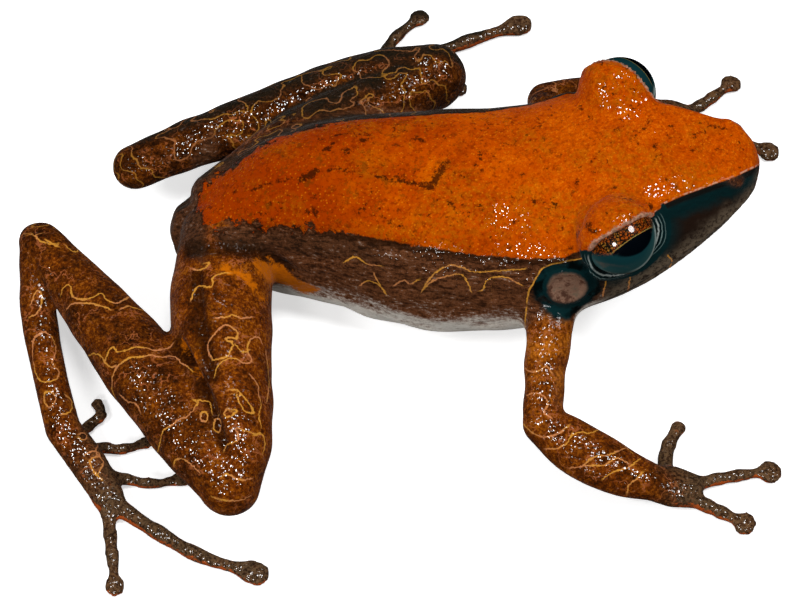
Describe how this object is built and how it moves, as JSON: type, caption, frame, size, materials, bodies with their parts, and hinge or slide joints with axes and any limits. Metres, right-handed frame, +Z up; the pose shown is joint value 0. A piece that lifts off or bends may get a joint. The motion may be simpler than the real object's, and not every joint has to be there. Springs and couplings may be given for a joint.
{
  "type": "peru rain frog",
  "caption": "Life-size still model of a small long-legged rain frog sitting, one hind leg swung out and folded, the other folded along the flank.",
  "frame": {"origin": "on the floor under the middle of the frog's bounding box", "axes": "+X forward, from the rump to the snout; +Y to the frog's left; +Z up"},
  "size_m": [0.0566, 0.0504, 0.0155],
  "materials": {
    "back_skin": "moist burnt-orange skin with fine granules, dark flecks and dark brown flanks",
    "belly_skin": "moist pale grey skin mottled with brown",
    "limb_skin": "moist dark rust-brown skin with thin golden contour lines and fine granules",
    "digit_skin": "moist grey-brown skin with orange streaks",
    "eye": "wet, clear and very glossy, copper and gold iris with a wide dark pupil"
  },
  "bodies": {
    "root": {"torso": "back_skin", "head": "back_skin", "lower_jaw": "belly_skin", "eye_left": "eye", "eye_right": "eye", "upper_arm_left": "limb_skin", "upper_arm_right": "limb_skin", "forearm_left": "limb_skin", "forearm_right": "limb_skin", "hand_left": "limb_skin", "hand_right": "limb_skin", "finger_left_1": "digit_skin", "finger_left_2": "digit_skin", "finger_left_3": "digit_skin", "finger_left_4": "digit_skin", "finger_right_1": "digit_skin", "finger_right_2": "digit_skin", "finger_right_3": "digit_skin", "finger_right_4": "digit_skin", "thigh_left": "limb_skin", "thigh_right": "limb_skin", "shank_left": "limb_skin", "shank_right": "limb_skin", "tarsus_left": "limb_skin", "tarsus_right": "limb_skin", "foot_left": "limb_skin", "foot_right": "limb_skin", "toe_left_1": "digit_skin", "toe_left_2": "digit_skin", "toe_left_3": "digit_skin", "toe_left_4": "digit_skin", "toe_left_5": "digit_skin", "toe_right_1": "digit_skin", "toe_right_2": "digit_skin", "toe_right_3": "digit_skin", "toe_right_4": "digit_skin", "toe_right_5": "digit_skin"}
  },
  "joints": []
}
